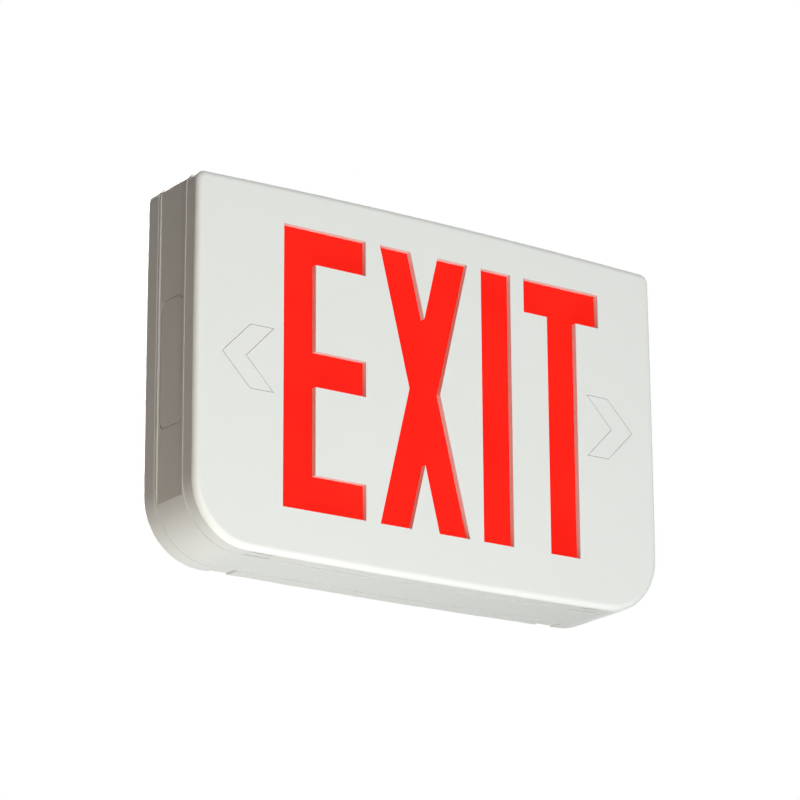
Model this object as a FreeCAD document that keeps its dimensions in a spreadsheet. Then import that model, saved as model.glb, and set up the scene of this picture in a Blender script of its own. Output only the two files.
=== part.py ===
import FreeCAD, Part
import Sketcher
import os
import re

# Wall-mounted LED exit sign: stencil cover, frame, back plate and the works inside.
# Frame: origin at the centre of the wall face, X to the viewer's right, Z up,
# the sign's face towards -Y and the wall at Y = 0.  All lengths in millimetres.

V = FreeCAD.Vector
doc = FreeCAD.newDocument("ExitSign")
sheet = doc.addObject("Spreadsheet::Sheet", "Sizes")

SIZES = {
    # outline shared by cover, frame and back plate
    "overall_width": 297.6,
    "overall_height": 201.0,
    "overall_depth": 49.5,
    "top_bow": 2.4,
    "bottom_bow": 1.5,
    "side_bow": 0.4,
    "top_corner_radius": 6.0,
    "bottom_corner_radius": 34.0,
    # the joints between the three shells
    "seam_gap": 0.3,
    "tongue_gap": 0.2,
    "tongue_wall": 1.2,
    "tongue_reach": 2.4,
    # stencil cover
    "cover_depth": 10.4,
    "cover_step": 0.4,
    "cover_wall": 2.4,
    "cover_face": 3.2,
    "cover_edge_radius": 3.6,
    "cover_edge_lip": 0.15,
    # pry slots and notches along the bottom edge
    "pry_spacing": 209.0,
    "pry_width": 12.0,
    "slot_height": 1.8,
    "slot_setback": 3.6,
    "slot_depth": 1.4,
    "seam_notch": 1.2,
    # letters
    "letter_height": 152.4,
    "letter_stroke": 19.8,
    "letter_bar": 19.3,
    "letter_gap": 8.9,
    "x_extra_width": 6.0,
    "arrow_to_letters": 6.25,
    "stem_to_arrow": 6.95,
    "letters_up": 2.3,
    # arrow inserts beside the letters
    "arrow_side": 16.6,
    "arrow_half_height": 17.0,
    "arrow_run": 16.6,
    "arrow_thickness": 13.8,
    "arrow_clearance": 0.25,
    "arrow_clip": 4.0,
    # coloured panel behind the stencil
    "panel_side": 10.8,
    "panel_top": 12.2,
    "panel_bottom": 16.8,
    "panel_thickness": 2.0,
    "stake_radius": 1.6,
    "stake_head_radius": 2.6,
    "stake_head": 0.8,
    "stake_side": 13.0,
    "stake_inset": 4.0,
    # middle frame
    "frame_wall": 2.5,
    "bead_width": 1.4,
    "side_drop": 1.0,
    "knockout_length": 69.0,
    "knockout_width": 23.0,
    "knockout_radius": 6.0,
    "knockout_groove": 0.8,
    "knockout_depth": 0.6,
    # back plate
    "plate_depth": 11.6,
    "plate_step": 0.3,
    "plate_wall": 2.5,
    "plate_floor": 2.5,
    "plate_edge_radius": 3.0,
    "wire_hole_radius": 11.1,
    "box_screw_spacing": 88.9,
    "box_slot_length": 14.0,
    "box_slot_radius": 2.4,
    "keyhole_spacing": 203.2,
    "keyhole_up": 60.0,
    "keyhole_head_radius": 4.6,
    "keyhole_neck_radius": 2.3,
    "keyhole_travel": 9.0,
    # snap hooks and the ledges they catch on
    "hook_width": 12.0,
    "hook_wall": 1.6,
    "hook_inset": 5.6,
    "hook_barb": 1.8,
    "hook_barb_length": 3.4,
    "ledge_length": 3.0,
    "ledge_height": 2.7,
    "hook_play": 0.3,
    "plate_hook_spacing": 120.0,
    # reflector tray and its posts
    "reflector_side": 12.8,
    "reflector_top": 13.2,
    "reflector_bottom": 17.8,
    "reflector_corner": 4.0,
    "reflector_wall": 1.2,
    "reflector_stand_off": 25.5,
    "reflector_clearance": 0.5,
    "post_radius": 3.6,
    "post_inset": 11.0,
    "screw_radius": 1.45,
    "screw_clearance": 0.05,
    "screw_head_radius": 2.9,
    "screw_head": 1.9,
    "screw_length": 8.0,
    "cross_slot": 0.8,
    # light strips
    "strip_end_gap": 14.0,
    "strip_width": 10.0,
    "strip_board": 1.2,
    "led_count": 10,
    "led_length": 3.5,
    "led_width": 2.8,
    "led_height": 1.9,
    # control board and what it carries
    "board_width": 112.0,
    "board_height": 62.0,
    "board_thickness": 1.6,
    "board_stand_off": 5.0,
    "board_side": 90.8,
    "board_up": 51.0,
    "board_hole_inset": 4.5,
    "board_corner": 2.0,
    "transformer_left": 30.0,
    "transformer_up": 4.0,
    "core_width": 32.0,
    "core_height": 27.0,
    "core_limb": 5.2,
    "core_middle": 9.6,
    "core_low": 1.6,
    "core_high": 13.0,
    "coil_high": 15.6,
    "coil_play": 0.3,
    "can_left": 4.0,
    "can_up": 12.0,
    "can_radius": 5.0,
    "can_height": 13.0,
    "small_can_radius": 4.0,
    "small_can_height": 11.0,
    "terminal_left": 30.0,
    "terminal_down": 22.0,
    "terminal_pitch": 8.0,
    "terminal_deep": 9.6,
    "terminal_high": 11.0,
    "chip_right": 14.0,
    "chip_down": 6.0,
    "chip_width": 6.4,
    "chip_high": 3.4,
    "chip_lift": 0.4,
    "pin_pitch": 2.54,
    "socket_right": 30.0,
    "socket_up": 22.0,
    "socket_pitch": 12.0,
    "socket_width": 7.6,
    "socket_deep": 5.8,
    "socket_high": 7.0,
    "socket_wall": 0.8,
    # battery
    "cell_radius": 7.1,
    "cell_length": 50.0,
    "cell_wrap": 0.4,
    "battery_side": 56.8,
    "battery_up": 50.0,
    "cradle_wall": 1.6,
    "cradle_height": 8.0,
    "strap_width": 14.0,
    "strap_thickness": 1.2,
    "strap_foot": 9.0,
    # leads between the board and what it serves
    "lead_radius": 1.1,
    "wire_radius": 0.8,
    "lead_bend": 3.6,
    "lead_lift": 0.1,
    "lead_side": 4.5,
    "lead_drop": 11.9,
    "lead_hole_radius": 2.2,
    "battery_lead_out": 10.0,
    "battery_lead_up": 14.2,
    "battery_lead_front": 3.3,
    "plug_play": 0.15,
    "plug_proud": 2.5,
    "wire_pad": 4.0,
    # test button and status light on the right side
    "button_down": 50.0,
    "button_back": 19.2,
    "button_radius": 3.4,
    "button_play": 0.2,
    "button_travel": 1.5,
    "button_proud": 1.8,
    "bezel_radius": 5.2,
    "bezel_height": 1.2,
    "bushing_radius": 4.4,
    "bushing_length": 7.0,
    "switch_case": 12.0,
    "switch_case_length": 9.0,
    "switch_pin": 4.0,
    "switch_pin_spacing": 6.0,
    "nut_width": 11.0,
    "nut_height": 2.0,
    "lamp_spacing": 14.0,
    "lamp_radius": 2.5,
    "lamp_holder_radius": 3.2,
    "lamp_flange_radius": 4.2,
    "lamp_flange": 1.0,
    "lamp_length": 8.6,
}
for row, (name, number) in enumerate(SIZES.items(), start=1):
    sheet.set("A%d" % row, name)
    sheet.set("B%d" % row, str(number))
    sheet.setAlias("B%d" % row, name)
doc.recompute()


# ---- small helpers: an expression is text made of size names and arithmetic ----

def bound(text):
    """The expression with every size name pointing at the sheet."""
    return re.sub(r"[a-z][a-z_]*", lambda w: "Sizes." + w.group(0) if w.group(0) in SIZES else w.group(0),
                  str(text))


def number(text):
    """The present value of an expression."""
    return float(sheet.evalExpression(bound(text)))


def bind(thing, prop, text):
    thing.setExpression(prop, bound(text))


def place(thing, x="0", y="0", z="0", turn=None):
    if turn is not None:
        thing.Placement = FreeCAD.Placement(V(0, 0, 0), turn)
    for axis, text in (("x", x), ("y", y), ("z", z)):
        bind(thing, ".Placement.Base." + axis, text)
    return thing


def box(name, x, y, z):
    """A block between two expressions along each axis."""
    thing = doc.addObject("Part::Box", name)
    for prop, (low, high) in (("Length", x), ("Width", y), ("Height", z)):
        bind(thing, prop, "(%s)-(%s)" % (high, low))
    return place(thing, x[0], y[0], z[0])


ALONG_X = FreeCAD.Rotation(V(0, 1, 0), 90)
ALONG_Y = FreeCAD.Rotation(V(1, 0, 0), -90)
ALONG_Z = FreeCAD.Rotation()


def rod(name, radius, length, turn, x="0", y="0", z="0"):
    """A round bar that starts at the point given and runs along +X, +Y or +Z."""
    thing = doc.addObject("Part::Cylinder", name)
    bind(thing, "Radius", radius)
    bind(thing, "Height", length)
    return place(thing, x, y, z, turn)


FACING_FRONT = FreeCAD.Rotation(V(1, 0, 0), V(0, 0, 1), V(0, -1, 0), "XYZ")
FACING_RIGHT = FreeCAD.Rotation(V(0, 1, 0), V(0, 0, 1), V(1, 0, 0), "XYZ")
FACING_UP = FreeCAD.Rotation()


def outline(name, corners, turn, x="0", y="0", z="0"):
    """A closed sketch whose every corner is held by two expressions."""
    sketch = doc.addObject("Sketcher::SketchObject", name)
    points = [V(number(a), number(b), 0) for a, b in corners]
    count = len(points)
    for i in range(count):
        sketch.addGeometry(Part.LineSegment(points[i], points[(i + 1) % count]))
    for i in range(count):
        sketch.addConstraint(Sketcher.Constraint("Coincident", i, 2, (i + 1) % count, 1))
    for i, (a, b) in enumerate(corners):
        for kind, text, start in (("DistanceX", a, points[i].x), ("DistanceY", b, points[i].y)):
            index = sketch.addConstraint(Sketcher.Constraint(kind, -1, 1, i, 1, start))
            bind(sketch, "Constraints[%d]" % index, text)
    return place(sketch, x, y, z, turn)


def prism(name, corners, length, turn, x="0", y="0", z="0"):
    """The outline drawn out along its normal."""
    thing = doc.addObject("Part::Extrusion", name)
    thing.Base = outline(name + "_outline", corners, turn, x, y, z)
    thing.DirMode = "Normal"
    thing.Solid = True
    bind(thing, "LengthFwd", length)
    return thing


def turned(name, corners, turn, x="0", y="0", z="0"):
    """The outline spun once round its own vertical axis."""
    thing = doc.addObject("Part::Revolution", name)
    thing.Source = outline(name + "_outline", corners, FACING_UP)
    thing.Axis = V(0, 1, 0)
    thing.Angle = 360
    thing.Solid = True
    return place(thing, x, y, z, turn)


def fuse(name, things):
    thing = doc.addObject("Part::MultiFuse", name)
    thing.Shapes = things
    return thing


def common(name, things):
    thing = doc.addObject("Part::MultiCommon", name)
    thing.Shapes = things
    return thing


def cut(name, base, tools):
    thing = doc.addObject("Part::Cut", name)
    thing.Base = base
    thing.Tool = tools[0] if len(tools) == 1 else fuse(name + "_tools", tools)
    return thing


def group(name, things):
    """Several separate solids that share one name."""
    thing = doc.addObject("Part::Compound", name)
    thing.Links = things
    return thing


def rounded(name, base, choose, radius):
    """Fillet of the edges that choose() accepts."""
    doc.recompute()
    thing = doc.addObject("Part::Fillet", name)
    thing.Base = base
    thing.Edges = [(i, radius(edge), radius(edge))
                   for i, edge in enumerate(base.Shape.Edges, start=1) if choose(edge)]
    doc.recompute()
    return thing


def runs_along(edge, axis):
    """True for a straight edge along the axis."""
    if edge.Curve.TypeId != "Part::GeomLine":
        return False
    return abs(edge.Curve.Direction.dot(axis)) > 0.999


parts = {}


def sub_part(label, thing):
    thing.Label = label
    parts[label] = thing
    return thing


# ---- the outline that the shells share: four shallow arcs and four round corners ----

HALF_WIDTH = "overall_width/2"
HALF_HEIGHT = "overall_height/2"
TOP_ARC = "((overall_width/2)^2+top_bow^2)/(2*top_bow)"
BOTTOM_ARC = "((overall_width/2)^2+bottom_bow^2)/(2*bottom_bow)"
SIDE_ARC = "((overall_height/2)^2+side_bow^2)/(2*side_bow)"


def bowed_block(name, inset, y):
    """A slab with the shared outline, moved inwards by inset, between two depths."""
    length = "(%s)-(%s)" % (y[1], y[0])
    core = box(name + "_core", ("-overall_width", "overall_width"), y, ("-overall_height", "overall_height"))
    arcs = []
    for side, arc, x, z in (("top", TOP_ARC, "0", "%s-(%s)" % (HALF_HEIGHT, TOP_ARC)),
                            ("bottom", BOTTOM_ARC, "0", "(%s)-(%s)" % (BOTTOM_ARC, HALF_HEIGHT)),
                            ("left", SIDE_ARC, "(%s)-(%s)" % (SIDE_ARC, HALF_WIDTH), "0"),
                            ("right", SIDE_ARC, "%s-(%s)" % (HALF_WIDTH, SIDE_ARC), "0")):
        arcs.append(rod("%s_%s" % (name, side), "(%s)-(%s)" % (arc, inset), length, ALONG_Y, x, y[0], z))
    slab = common(name + "_bowed", [core] + arcs)

    def corner_radius(edge):
        alias = "top_corner_radius" if edge.CenterOfMass.z > 0 else "bottom_corner_radius"
        return max(number(alias) - number(inset), 0.5)

    return rounded(name, slab, lambda edge: runs_along(edge, V(0, 1, 0)), corner_radius)


def rim_edges(y):
    """Chooses the edges that lie in the plane at depth y."""
    depth = number(y)
    return lambda edge: abs(edge.BoundBox.YMin - depth) < 0.01 and abs(edge.BoundBox.YMax - depth) < 0.01


def inset_of_edge(z_sign, spacing):
    """How far the bowed edge has fallen back at half the spacing from the middle."""
    bow = "top_bow" if z_sign > 0 else "bottom_bow"
    return "%s*(%s)^2/overall_width^2" % (bow, spacing)


FACE = "-overall_depth"
COVER_BACK = "cover_depth-overall_depth"
FRAME_FRONT = "cover_depth+seam_gap-overall_depth"
FRAME_BACK = "-plate_depth-seam_gap"
PLATE_FRONT = "-plate_depth"
PANEL_FRONT = "cover_face-overall_depth"
PANEL_BACK = "cover_face+panel_thickness-overall_depth"


# ---- letters: four blocks cut through the cover, in capitals with square strokes ----

# The E starts beside the left arrow and the T's stem ends beside the right one, so the width that
# is left sets the E and the T, which are alike, and the X, which is a little wider.
ARROW_INNER = "(overall_width/2-arrow_side-arrow_run-arrow_thickness)"
LETTER_WIDTH = ("((2*%s-arrow_to_letters-stem_to_arrow-3*letter_gap-1.5*letter_stroke-x_extra_width)/2.5)"
                % ARROW_INNER)
X_WIDTH = "(%s+x_extra_width)" % LETTER_WIDTH
E_LEFT = "arrow_to_letters-%s" % ARROW_INNER
X_LEFT = "%s+%s+letter_gap" % (E_LEFT, LETTER_WIDTH)
I_LEFT = "%s+%s+letter_gap" % (X_LEFT, X_WIDTH)
T_LEFT = I_LEFT + "+letter_stroke+letter_gap"


def letter(name, left, corners):
    """A cutter for one letter; corners are measured from its lower left corner."""
    return prism(name, corners, "cover_face+2", FACING_FRONT, left, "cover_face+1-overall_depth",
                 "letters_up-letter_height/2")


def letter_cutters():
    wide, x_wide = LETTER_WIDTH, X_WIDTH
    e_middle = "letter_height/2"
    letter_e = letter("letter_e", E_LEFT, [
        ("0", "0"), (wide, "0"), (wide, "letter_bar"), ("letter_stroke", "letter_bar"),
        ("letter_stroke", e_middle + "-letter_bar/2"), (wide, e_middle + "-letter_bar/2"),
        (wide, e_middle + "+letter_bar/2"), ("letter_stroke", e_middle + "+letter_bar/2"),
        ("letter_stroke", "letter_height-letter_bar"), (wide, "letter_height-letter_bar"),
        (wide, "letter_height"), ("0", "letter_height")])
    # the X: its strokes lean by the run of the outer edge from a corner to the waist
    waist = "(%s-letter_stroke)/2" % x_wide
    fork = "((%s-2*letter_stroke)*letter_height/2/(%s-letter_stroke))" % (x_wide, x_wide)
    half = x_wide + "/2"
    letter_x = letter("letter_x", X_LEFT, [
        ("0", "0"), ("letter_stroke", "0"), (half, fork), (x_wide + "-letter_stroke", "0"),
        (x_wide, "0"), (x_wide + "-" + waist, "letter_height/2"), (x_wide, "letter_height"),
        (x_wide + "-letter_stroke", "letter_height"), (half, "letter_height-" + fork),
        ("letter_stroke", "letter_height"), ("0", "letter_height"), (waist, "letter_height/2")])
    letter_i = letter("letter_i", I_LEFT, [
        ("0", "0"), ("letter_stroke", "0"), ("letter_stroke", "letter_height"), ("0", "letter_height")])
    stem = "(%s-letter_stroke)/2" % wide
    letter_t = letter("letter_t", T_LEFT, [
        (stem, "0"), (stem + "+letter_stroke", "0"), (stem + "+letter_stroke", "letter_height-letter_bar"),
        (wide, "letter_height-letter_bar"), (wide, "letter_height"), ("0", "letter_height"),
        ("0", "letter_height-letter_bar"), (stem, "letter_height-letter_bar")])
    return [letter_e, letter_x, letter_i, letter_t]


# ---- arrow inserts: one chevron each side, held by two clips behind the face ----

ARROW_TIP = "(overall_width/2-arrow_side)"
ARROW_MIDDLE = "(overall_width/2-arrow_side-arrow_thickness/2-arrow_run/2)"


def arrow(name, side, grow, back, length):
    """A chevron pointing away from the letters, larger all round by grow."""
    # a parallel move of the sloping edges by grow shifts them sideways by grow*slant
    slant = "sqrt(1+(arrow_run/arrow_half_height)^2)"
    tip = "%s+(%s)*%s" % (ARROW_TIP, grow, slant)
    notch = "%s-arrow_thickness-(%s)*%s" % (ARROW_TIP, grow, slant)
    rise = "(arrow_half_height+(%s))" % grow
    lean = "%s*arrow_run/arrow_half_height" % rise
    corners = [("%d*(%s)" % (side, x), z) for x, z in (
        (tip, "0"), ("%s-%s" % (tip, lean), rise), ("%s-%s" % (notch, lean), rise), (notch, "0"),
        ("%s-%s" % (notch, lean), "-" + rise), ("%s-%s" % (tip, lean), "-" + rise))]
    return prism(name, corners, length, FACING_FRONT, "0", back, "letters_up")


def make_arrow_insert(label, side):
    plate = arrow(label + "_plate", side, "0", PANEL_FRONT, "cover_face")
    # two clip pads in the middle of the arms reach over the back of the face
    middle = "%d*%s" % (side, ARROW_MIDDLE)
    clips = []
    for up in (1, -1):
        height = "letters_up+%d*arrow_half_height/2" % up
        clips.append(box("%s_clip_%s" % (label, "upper" if up > 0 else "lower"),
                         (middle + "-arrow_clip", middle + "+arrow_clip"),
                         (PANEL_FRONT + "-0.6", PANEL_FRONT), (height + "-1", height + "+1")))
    sub_part(label, fuse(label + "_solid", [plate] + clips))


# ---- snap hooks: a springy arm with a barb, and the ledge it catches ----

def hook(name, x, z_sign, spacing, root, direction):
    """Arm from the root plane; direction is +1 towards the wall and -1 towards the face."""
    fall = inset_of_edge(z_sign, spacing)
    reach = "(ledge_length+hook_barb_length+hook_play+%s)" % HOOK_NECK[direction]
    edge = "(%s-%s)" % (HALF_HEIGHT, fall)

    def at(inset):
        return "%d*(%s-(%s))" % (z_sign, edge, inset)

    tip = "%s*%d" % (reach, direction)
    barb_start = "(%s-hook_barb_length)*%d" % (reach, direction)
    corners = [("0", at("hook_inset+hook_wall")), (tip, at("hook_inset+hook_wall")), (tip, at("hook_inset")),
               (barb_start, at("hook_inset-hook_barb")), (barb_start, at("hook_inset")), ("0", at("hook_inset"))]
    return prism(name, corners, "hook_width", FACING_RIGHT, "%s-hook_width/2" % x, root, "0")


# distance from each hook's root to the near side of its ledge
HOOK_NECK = {1: "(cover_depth-cover_face+tongue_reach+seam_gap)",
             -1: "(plate_depth-plate_floor+tongue_reach+seam_gap)"}


def ledge(name, x, z_sign, spacing, root, direction):
    """Block inside the frame wall that the barb of the hook catches behind."""
    fall = inset_of_edge(z_sign, spacing)
    near = "(%s)+%d*%s" % (root, direction, HOOK_NECK[direction])
    far = "(%s)+%d*(%s+ledge_length)" % (root, direction, HOOK_NECK[direction])
    top = "(%s-%s-frame_wall+0.5)" % (HALF_HEIGHT, fall)
    low = "(%s-%s-frame_wall-ledge_height)" % (HALF_HEIGHT, fall)
    y = (near, far) if direction > 0 else (far, near)
    z = (low, top) if z_sign > 0 else ("-" + top, "-" + low)
    return box(name, ("%s-hook_width/2-1" % x, "%s+hook_width/2+1" % x), y, z)


def four(make, prefix, spacing, root, direction):
    """One hook or ledge at each end of the top and bottom edges."""
    made = []
    for side in (1, -1):
        for z_sign in (1, -1):
            name = "%s_%s_%s" % (prefix, "right" if side > 0 else "left", "top" if z_sign > 0 else "bottom")
            made.append(make(name, "%d*%s/2" % (side, spacing), z_sign, spacing, root, direction))
    return made


# ---- front cover ----

PANEL_HALF = "(overall_width/2-panel_side)"
PANEL_HIGH = "(overall_height/2-panel_top)"
PANEL_LOW = "(panel_bottom-overall_height/2)"


def stake_points():
    for side in (-1, 0, 1):
        for z in (PANEL_LOW + "+stake_inset", PANEL_HIGH + "-stake_inset"):
            yield "%d*(%s-stake_side)" % (side, PANEL_HALF), z


def make_front_cover():
    # the rounded edge of a slightly larger slab, trimmed by the cover's own outline: the rounding
    # meets the side in a fine crisp line
    block = bowed_block("cover_block", "cover_step", (FACE, COVER_BACK))
    larger = bowed_block("cover_larger", "cover_step-cover_edge_lip", (FACE, COVER_BACK))
    crown = rounded("cover_crown", larger, rim_edges(FACE), lambda edge: number("cover_edge_radius"))
    shell = common("cover_rounded", [block, crown])
    hollow = bowed_block("cover_hollow", "cover_step+cover_wall", (PANEL_FRONT, COVER_BACK + "+1"))
    openings = letter_cutters()
    for side, word in ((-1, "left"), (1, "right")):
        openings.append(arrow("arrow_opening_" + word, side, "arrow_clearance", PANEL_FRONT + "+1",
                              "cover_face+2"))
        x = "%d*pry_spacing/2" % side
        below = "-%s-1" % HALF_HEIGHT
        inner = "cover_step+slot_depth+%s-%s" % (inset_of_edge(-1, "pry_spacing"), HALF_HEIGHT)
        openings.append(box("pry_slot_" + word, (x + "-pry_width/2", x + "+pry_width/2"),
                            (FACE + "+slot_setback", FACE + "+slot_setback+slot_height"), (below, inner)))
        openings.append(box("seam_notch_" + word, (x + "-pry_width/2-1.5", x + "+pry_width/2+1.5"),
                            (COVER_BACK + "-seam_notch", COVER_BACK + "+1"), (below, inner)))
    body = cut("cover_open", shell, [hollow] + openings)
    stakes = []
    for i, (x, z) in enumerate(stake_points(), start=1):
        stakes.append(rod("stake_%d" % i, "stake_radius", "panel_thickness", ALONG_Y, x, PANEL_FRONT, z))
        stakes.append(rod("stake_head_%d" % i, "stake_head_radius", "stake_head", ALONG_Y, x, PANEL_BACK, z))
    hooks = four(hook, "cover_hook", "pry_spacing", PANEL_FRONT, 1)
    sub_part("front_cover", fuse("front_cover_solid", [body] + stakes + hooks))


# ---- coloured panel behind the stencil ----

def make_letter_panel():
    sheet_block = box("panel_block", ("-" + PANEL_HALF, PANEL_HALF), (PANEL_FRONT, PANEL_BACK),
                      (PANEL_LOW, PANEL_HIGH))
    holes = [rod("panel_hole_%d" % i, "stake_radius+screw_clearance", "panel_thickness+2", ALONG_Y, x,
                 PANEL_FRONT + "-1", z) for i, (x, z) in enumerate(stake_points(), start=1)]
    # room for the clips of the arrow inserts
    for side, word in ((-1, "left"), (1, "right")):
        middle = "%d*%s" % (side, ARROW_MIDDLE)
        for up in (1, -1):
            height = "letters_up+%d*arrow_half_height/2" % up
            holes.append(box("panel_pocket_%s_%d" % (word, up), (middle + "-arrow_clip-1", middle + "+arrow_clip+1"),
                             (PANEL_FRONT + "-1", PANEL_FRONT + "+0.8"), (height + "-2", height + "+2")))
    sub_part("letter_panel", cut("letter_panel_solid", sheet_block, holes))


# ---- middle frame ----

def rounded_slab(name, x, y, z, axis, radius):
    block = box(name + "_block", x, y, z)
    return rounded(name, block, lambda edge: runs_along(edge, axis), lambda edge: number(radius))


def knockout_groove(name, side):
    """Rounded rectangular groove in a side wall (side -1 or 1) or in the top wall (side 0)."""
    half, flat = "knockout_length/2", "knockout_width/2"
    middle = "(%s+(%s))/2" % (FRAME_FRONT, FRAME_BACK)
    rings = []
    for word, grow in (("outer", "0"), ("inner", "-knockout_groove")):
        y = ("%s-(%s)-(%s)" % (middle, flat, grow), "%s+(%s)+(%s)" % (middle, flat, grow))
        along = ("-(%s)-(%s)" % (half, grow), "(%s)+(%s)" % (half, grow))
        radius = "knockout_radius+(%s)" % grow
        if side:
            wall = "%d*(%s-side_drop-knockout_depth)" % (side, HALF_WIDTH)
            out = "%d*(%s+1)" % (side, HALF_WIDTH)
            x = (wall, out) if side > 0 else (out, wall)
            rings.append(rounded_slab("%s_%s" % (name, word), x, y, along, V(1, 0, 0), radius))
        else:
            z = ("%s-top_bow/4-knockout_depth" % HALF_HEIGHT, HALF_HEIGHT + "+1")
            rings.append(rounded_slab("%s_%s" % (name, word), along, y, z, V(0, 0, 1), radius))
    return cut(name, rings[0], [rings[1]])


def make_housing_frame():
    block = bowed_block("frame_block", "0", (FRAME_FRONT, FRAME_BACK))
    # locating tongues that reach into the cover and into the back plate
    tongue = bowed_block("frame_tongue", "cover_step+cover_wall+tongue_gap",
                         (FRAME_FRONT + "-tongue_reach", FRAME_BACK + "+tongue_reach"))
    hollow = bowed_block("frame_hollow", "cover_step+cover_wall+tongue_gap+tongue_wall",
                         (FRAME_FRONT + "-tongue_reach-1", FRAME_BACK + "+tongue_reach+1"))
    room = bowed_block("frame_room", "frame_wall",
                       (FRAME_FRONT + "+tongue_wall", FRAME_BACK + "-tongue_wall"))
    cuts = [hollow, room]
    flat = (FRAME_FRONT + "+bead_width", FRAME_BACK + "-bead_width")
    for side, word in ((-1, "left"), (1, "right")):
        wall = "%d*(%s-side_drop)" % (side, HALF_WIDTH)
        out = "%d*(%s+2)" % (side, HALF_WIDTH)
        x = (wall, out) if side > 0 else (out, wall)
        cuts.append(box("side_flat_" + word, x, flat, ("-" + HALF_HEIGHT, HALF_HEIGHT)))
        cuts.append(knockout_groove("knockout_" + word, side))
    cuts.append(knockout_groove("knockout_top", 0))
    cuts.append(rod("button_hole", "bushing_radius+screw_clearance", "20", ALONG_X, HALF_WIDTH + "-10",
                    "-button_back", "-button_down"))
    cuts.append(rod("lamp_hole", "lamp_holder_radius+screw_clearance", "20", ALONG_X, HALF_WIDTH + "-10",
                    "-button_back", "-button_down-lamp_spacing"))
    body = cut("frame_open", fuse("frame_outer", [block, tongue]), cuts)
    ledges = four(ledge, "cover_ledge", "pry_spacing", PANEL_FRONT, 1)
    ledges += four(ledge, "plate_ledge", "plate_hook_spacing", "-plate_floor", -1)
    sub_part("housing_frame", fuse("housing_frame_solid", [body] + ledges))


# ---- back plate ----

TRAY_HALF = "(overall_width/2-reflector_side)"
TRAY_HIGH = "(overall_height/2-reflector_top)"
TRAY_LOW = "(reflector_bottom-overall_height/2)"
BOARD_X = "(overall_width/2-board_side)"
BOARD_Z = "(board_up-overall_height/2)"
BATTERY_X = "(battery_side-overall_width/2)"
BATTERY_Z = "(battery_up-overall_height/2)"
POST_TIP = "-plate_floor-reflector_stand_off"
BOARD_BACK = "-plate_floor-board_stand_off"
BOARD_FRONT = BOARD_BACK + "-board_thickness"


def post_points():
    for side in (-1, 1):
        for z in (TRAY_LOW + "+post_inset", TRAY_HIGH + "-post_inset"):
            yield "%d*(%s-post_inset)" % (side, TRAY_HALF), z


def board_points():
    for side in (-1, 1):
        for up in (-1, 1):
            yield ("%s+%d*(board_width/2-board_hole_inset)" % (BOARD_X, side),
                   "%s+%d*(board_height/2-board_hole_inset)" % (BOARD_Z, up))


def strap_points():
    for up in (-1, 1):
        yield BATTERY_X, "%s+%d*(3*cell_radius+2*cell_wrap+strap_foot/2+strap_thickness)" % (BATTERY_Z, up)


def post(name, radius, x, z, height):
    """Round post on the floor of the back plate, up to the height given."""
    return rod(name, radius, height + "+plate_floor/2", ALONG_Y, x, "-plate_floor-(%s)" % height, z)


def pilot_hole(name, x, tip, z):
    return rod(name, "screw_radius+screw_clearance", "screw_length-2", ALONG_Y, x, tip + "-1", z)


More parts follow.
